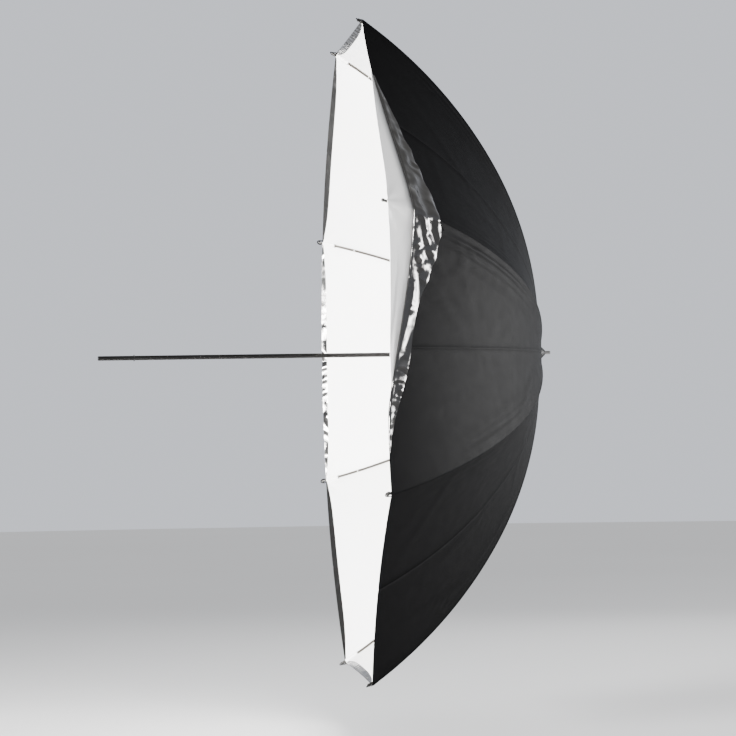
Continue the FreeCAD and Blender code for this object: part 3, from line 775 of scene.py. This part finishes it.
def corner_columns(base):
    """The columns of the cover's edge that are turned back."""
    first = base.columns_of(UNHOOKED_RIB - 1)[base.half]
    last = base.columns_of(UNHOOKED_RIB + 1)[base.half]
    run = np.arange(first, last + 1)
    width = flap_width(base.gore, base.share)[-1]
    return run[width[run] > NARROWEST_FLAP]


def flap_profile(end, width, radius):
    """The flap's rows: their lengths along the ribs, heights, and shares of the flap's width.

    end is where the cover's edge starts to fold. The first row only steers the normals.
    """
    turn = np.linspace(-math.pi / 2, math.pi / 2, BEND_STEPS)[:, None]
    out = np.array(FLAP_SHARES)[:, None]
    along = np.concatenate([
        end - 0.002 * np.ones((1, len(end))),
        end + radius * np.cos(turn),
        end - out * (width - radius),
    ])
    settled = 2 * radius - np.minimum(radius, 0.0012) * smooth(out, 0.0, 0.7)
    height = np.concatenate([np.zeros((1, len(end))), radius * (1 + np.sin(turn)), settled])
    from_fold = np.concatenate([np.zeros((1 + BEND_STEPS, 1)), out])
    return along, height, from_fold


def flap_lay(gore, share, along, from_fold):
    """Where the flap lies on the cover, with its corner slipped towards the next gore."""
    width = gore_width(along)
    from_unhooked = np.where(gore == UNHOOKED_RIB, share, share - 1) * width
    slip = CORNER_SLIP * smooth(from_fold, 0.0, 1.0) * bump(from_unhooked, 0.10)
    from_unhooked = from_unhooked + slip
    before = from_unhooked < 0
    gore = np.where(before, UNHOOKED_RIB - 1, UNHOOKED_RIB)
    return Lay(gore, from_unhooked / width + before, along)


def flap_points(lay, height, from_fold, width, around):
    """The flap's middle surface: settled on the cover, crinkled, and flared at its hem."""
    loose = smooth(from_fold, 0.0, 0.35) * smooth(width, 0.004, 0.03)
    crinkles = 0.0009 * (2.4 + crumple(lay.along, around * 0.45)) * loose
    flare = 0.0015 * smooth(from_fold, 0.5, 1.0) * smooth(width, 0.01, 0.04)
    lift = sag(lay) + lay.dip() + height + crinkles + flare
    return lay.on_chord(COVER_LIFT) + lay.outward() * lift[..., None]


def make_flap():
    """The cover's unhooked corner, folded back so that its silver lining shows.

    Returns its corner, the outward normal there, and the direction away from the fold.
    """
    base = Grid(cloth_rows, cover_edge)
    run = corner_columns(base)
    end_row, share, gore = base.along[-1, run], base.share[-1, run], base.gore[run]
    width = flap_width(gore, share)
    along, height, from_fold = flap_profile(end_row, width, fold_radius(gore, share))
    lay = flap_lay(gore, share, along, from_fold)
    around = rib_angle(gore + share)
    points = flap_points(lay, height, from_fold, width, around)
    normals = normals_of(points, ring=False)
    points, normals, along, from_fold = points[1:], normals[1:], along[1:], from_fold[1:]
    cloth_along = along.copy()
    cloth_along[BEND_STEPS:] = 2 * end_row - cloth_along[BEND_STEPS:]
    cloth_across = around * 0.5 * np.ones_like(along)
    hem = hem_step((1 - from_fold) * width, FLAP_HEM) * smooth(width, 0.010, 0.02)
    thickness = CLOTH + FLAP_HEM_RAISED * hem
    free_edge = lay.on_chord(COVER_LIFT)[-1]
    middles = np.flatnonzero(abs(share - 0.5) < 1e-6)
    cuts = [0, *middles, len(run) - 1]
    ribs = (UNHOOKED_RIB - 1, UNHOOKED_RIB, UNHOOKED_RIB + 1)
    for rib, start, end in zip(ribs, cuts, cuts[1:]):
        take = np.arange(start, end + 1)
        piece = cloth_piece(
            f"cover_corner_{rib}", points[:, take], normals[:, take],
            cloth_across[:, take], cloth_along[:, take],
            [MATERIALS["silver"], MATERIALS["black"]], thickness[:, take],
        )
        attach(piece, f"rib_{rib}_end")
        closing(piece)
        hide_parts("cover_flap")
    column = int(np.flatnonzero((gore == UNHOOKED_RIB) & (share == 0))[0])
    corner, before = Vector(points[-1, column]), Vector(points[-3, column])
    return corner, Vector(normals[-1, column]), (corner - before).normalized()


# ---------------------------------------------------------------- sewn on: loops, pockets, ties

# Each tie's place along its rib, by the half of the rib that it is on.
TIES = {"inner": (0.090, 0.190, 0.275), "outer": (0.360, 0.450, 0.540)}
TIE_GAP = 0.001
THREAD_RADIUS = 0.0004
ELASTIC_RADIUS = 0.0007
POCKET_START = RIB_LENGTH - 0.030
POCKET_LENGTH = 0.0225


def round_section(side, rise, radius, sides=8):
    """Points round a place on a cord. side and rise are square to its run."""
    return [
        (side * math.cos(turn) + rise * math.sin(turn)) * radius
        for turn in (2 * math.pi * i / sides for i in range(sides))
    ]


def corded(name, path, radius, material, closed=False):
    """A round cord through points, smooth at each of them."""
    sections = []
    count = len(path)
    for i, place in enumerate(path):
        before = path[(i - 1) % count] if closed or i else place
        after = path[(i + 1) % count] if closed or i < count - 1 else place
        along = (after - before).normalized()
        helper = Vector((1, 0, 0)) if abs(along.x) < 0.8 else Vector((0, 0, 1))
        side = along.cross(helper).normalized()
        rise = along.cross(side)
        sections.append(round_section(side, rise, radius))
    return swept(name, path, sections, material, closed)


def boxy(count, power):
    """Points round a box with rounded corners, each from -1 to 1 aside and up."""
    for turn in np.linspace(0, 2 * math.pi, count, endpoint=False):
        aside, up = math.cos(turn), math.sin(turn)
        yield math.copysign(abs(aside) ** power, aside), math.copysign(abs(up) ** power, up)


def loop_outline():
    """An elastic loop: how far each point lies beyond the loop's start, and to its side."""
    turns = np.linspace(-0.72 * math.pi, 0.72 * math.pi, 23)
    return [(0.0052 + 0.0052 * math.cos(turn), 0.0034 * math.sin(turn)) for turn in turns]


def make_loops(corner, outward, away):
    """The cover's elastic loops: each is hooked round its rib's tip, but for the unhooked one."""
    for rib in range(1, RIBS + 1):
        path = []
        for beyond, aside in loop_outline():
            if rib == UNHOOKED_RIB:
                side = outward.cross(away).normalized()
                path.append(corner + away * (beyond - 0.0015) + side * aside + outward * 0.0004)
            else:
                along = COVER_EDGE - 0.0022 + beyond
                drop = float(smooth(along, RIB_LENGTH - 0.006, RIB_LENGTH + 0.001))
                path.append(rib_place(rib, along, COVER_LIFT * (1 - drop), aside))
        loop = corded(f"corner_loop_{rib}", path, ELASTIC_RADIUS, MATERIALS["black_thread"])
        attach(loop, f"rib_{rib}_end")
        if rib == UNHOOKED_RIB:
            closing(loop)


def make_pockets():
    """The canopy's corner pockets, each a flat sleeve that holds the end of a rib."""
    for rib in range(1, RIBS + 1):
        path, sections = [], []
        angle = float(rib_angle(rib))
        side = Vector((0, math.cos(angle), math.sin(angle)))
        for step in np.linspace(0, 1, 13):
            along = POCKET_START + POCKET_LENGTH * step
            above = (rib_place(rib, along, MM) - rib_place(rib, along)).normalized()
            mouth = 1 + 0.12 * bump(step, 0.12) - 0.16 * bump(1 - step, 0.10)
            half_width, half_height = 0.0031 * mouth, 0.0023 * mouth
            path.append(rib_place(rib, along, -0.0003))
            sections.append([
                side * (aside * half_width) + above * (up * half_height)
                for aside, up in boxy(20, 0.6)
            ])
        pocket = swept(f"canopy_pocket_{rib}", path, sections, MATERIALS["white_plain"])
        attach(pocket, f"rib_{rib}_end")


def make_ties():
    """The ties that hold the canopy's seams to the ribs, each two turns of thread."""
    for rib in range(1, RIBS + 1):
        for part, body in (("inner", f"rib_{rib}"), ("outer", f"rib_{rib}_end")):
            turns = []
            for along in TIES[part]:
                for shift in (-TIE_GAP / 2, TIE_GAP / 2):
                    path = [
                        rib_place(rib, along + shift, 0.0002 + 0.0017 * up, 0.0021 * aside)
                        for aside, up in boxy(20, 0.5)
                    ]
                    thread_turn = corded(
                        "tie", path, THREAD_RADIUS, MATERIALS["white_thread"], closed=True
                    )
                    turns.append(thread_turn)
            ties = joined(f"seam_ties_{rib}_{part}", turns)
            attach(ties, body)
            closing(ties)


# ---------------------------------------------------------------- light, floor and camera


def make_floor():
    """A wide pale round floor below the rim."""
    low = cad_box[0].z - 0.09
    rings, sides = 6, 64
    middle, size = 0.3, 9.0
    points = [(middle, 0.0, low)]
    for ring in range(1, rings + 1):
        for side in range(sides):
            angle = 2 * math.pi * side / sides
            reach = size * ring / rings
            points.append((middle + reach * math.cos(angle), reach * math.sin(angle), low))
    faces = [(0, 1 + side, 1 + (side + 1) % sides) for side in range(sides)]
    for ring in range(rings - 1):
        for side in range(sides):
            a = 1 + ring * sides + side
            b = 1 + ring * sides + (side + 1) % sides
            faces.append((a, a + sides, b + sides, b))
    material, tree, shader = new_material("floor", Roughness=0.9)
    vary(tree, shader, "Base Color", noise(tree, 0.8, 2.0), [(0.3, 0.86), (0.7, 0.88)])
    floor = new_piece("floor", points, faces, [material])


def aim(thing, target):
    """Turns a light towards a point."""
    direction = Vector(target) - thing.location
    thing.rotation_mode = "QUATERNION"
    thing.rotation_quaternion = direction.to_track_quat("-Z", "Y")


def area_light(name, place, target, size, power, spread):
    """A light that the camera doesn't see. power is in watts and spread in degrees."""
    data = bpy.data.lights.new(name, "AREA")
    data.shape = "RECTANGLE"
    data.size, data.size_y = size
    data.energy = power
    data.spread = math.radians(spread)
    light = bpy.data.objects.new(name, data)
    light.location = place
    light.visible_camera = False
    aim(light, target)
    bpy.context.scene.collection.objects.link(light)


def make_lights():
    """A pale sky, a key light into the bowl, and a low wide light for the near panel."""
    world = bpy.data.worlds.new("studio")
    world.use_nodes = True
    tree = world.node_tree
    background = tree.nodes["Background"]
    direction = add(tree, "ShaderNodeTexCoord").outputs["Generated"]
    height = add(tree, "ShaderNodeSeparateXYZ", {"Vector": direction}).outputs["Z"]
    sky = ramp(tree, height, [(0.0, (0.80, 0.83, 0.90)), (0.15, (0.80, 0.83, 0.90)), (0.8, 0.66)])
    tree.links.new(sky, background.inputs["Color"])
    background.inputs["Strength"].default_value = 1.0
    bpy.context.scene.world = world
    area_light("key", (-3.0, -2.2, 0), (0.45, 0.1, 0), (2.0, 1.0), power=115, spread=45)
    area_light("side", (3.0, 0.5, 0), (0.45, 0, 0), (4.4, 0.5), power=40, spread=60)


def make_camera():
    """A long lens from in front of the bowl's side, a little towards its open end."""
    turn, rise, tilt = -0.1003, -0.0212, -0.0155
    distance, right_of, below = 4.588, 0.0263, 0.0196
    back = Vector((
        math.sin(turn) * math.cos(rise),
        -math.cos(turn) * math.cos(rise),
        math.sin(rise),
    ))
    right = Vector((0, 0, 1)).cross(back).normalized()
    up = back.cross(right)
    across = math.cos(tilt) * right + math.sin(tilt) * up
    upright = back.cross(across)
    low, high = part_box("rib_3_tip")
    rim = Vector(((low.x + high.x) / 2, 0, 0))
    place = rim + back * distance
    target = rim + across * right_of - upright * below
    sight = (place - target).normalized()
    across = (across - sight * across.dot(sight)).normalized()
    upright = sight.cross(across)
    data = bpy.data.cameras.new("camera")
    data.lens, data.sensor_width = 147.22, 36.0
    data.clip_start, data.clip_end = 0.1, 60.0
    camera = bpy.data.objects.new("camera", data)
    rows = Matrix((across, upright, sight)).transposed()
    camera.matrix_world = Matrix.Translation(place) @ rows.to_4x4()
    bpy.context.scene.collection.objects.link(camera)
    bpy.context.scene.camera = camera


# ---------------------------------------------------------------- the whole scene

make_camera()
finish_cad_nodes()
make_canopy()
make_cover()
make_loops(*make_flap())
make_pockets()
make_ties()
make_floor()
make_lights()
